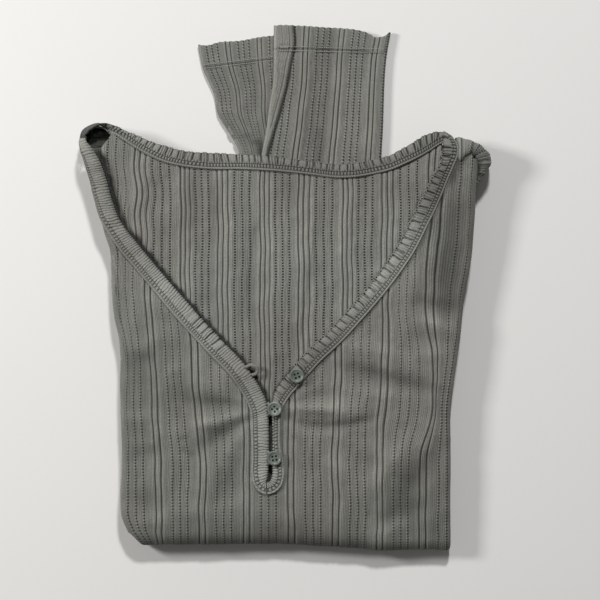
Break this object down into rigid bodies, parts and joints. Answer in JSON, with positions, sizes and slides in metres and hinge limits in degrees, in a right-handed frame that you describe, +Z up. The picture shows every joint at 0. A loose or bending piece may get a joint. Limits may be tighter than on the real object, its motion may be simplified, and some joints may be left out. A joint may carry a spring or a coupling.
{
  "type": "henley shirt",
  "caption": "Long-sleeved rib-knit henley shirt, folded flat face up, with an open V neck, a short buttoned slit and both sleeve ends above the back neck.",
  "frame": {"origin": "centre of the folded shirt's outline, on the surface it lies on", "axes": "+X across the shirt, to the right of the picture; +Y up the shirt, to the neck and the sleeve ends; +Z up from the surface"},
  "size_m": [0.323, 0.4107, 0.0335],
  "materials": {
    "knit": "grey-green rib and pointelle cotton knit, matt",
    "knit_inside": "inside of the same knit, slightly paler, matt",
    "band": "corded scalloped trim in the same yarn, matt",
    "button": "grey-green four-hole button, satin"
  },
  "bodies": {
    "root": {"front_panel": "knit", "back_panel": "knit_inside", "sleeve_left": "knit", "sleeve_right": "knit", "sleeve_left_head": "knit", "sleeve_right_head": "knit", "folded_layers": "knit", "neck_band_left": "band", "neck_band_right": "band", "neck_band_back": "band", "loop_1": "band", "loop_2": "band", "loop_3": "band", "button_1": "button", "button_2": "button", "button_3": "button"}
  },
  "joints": []
}
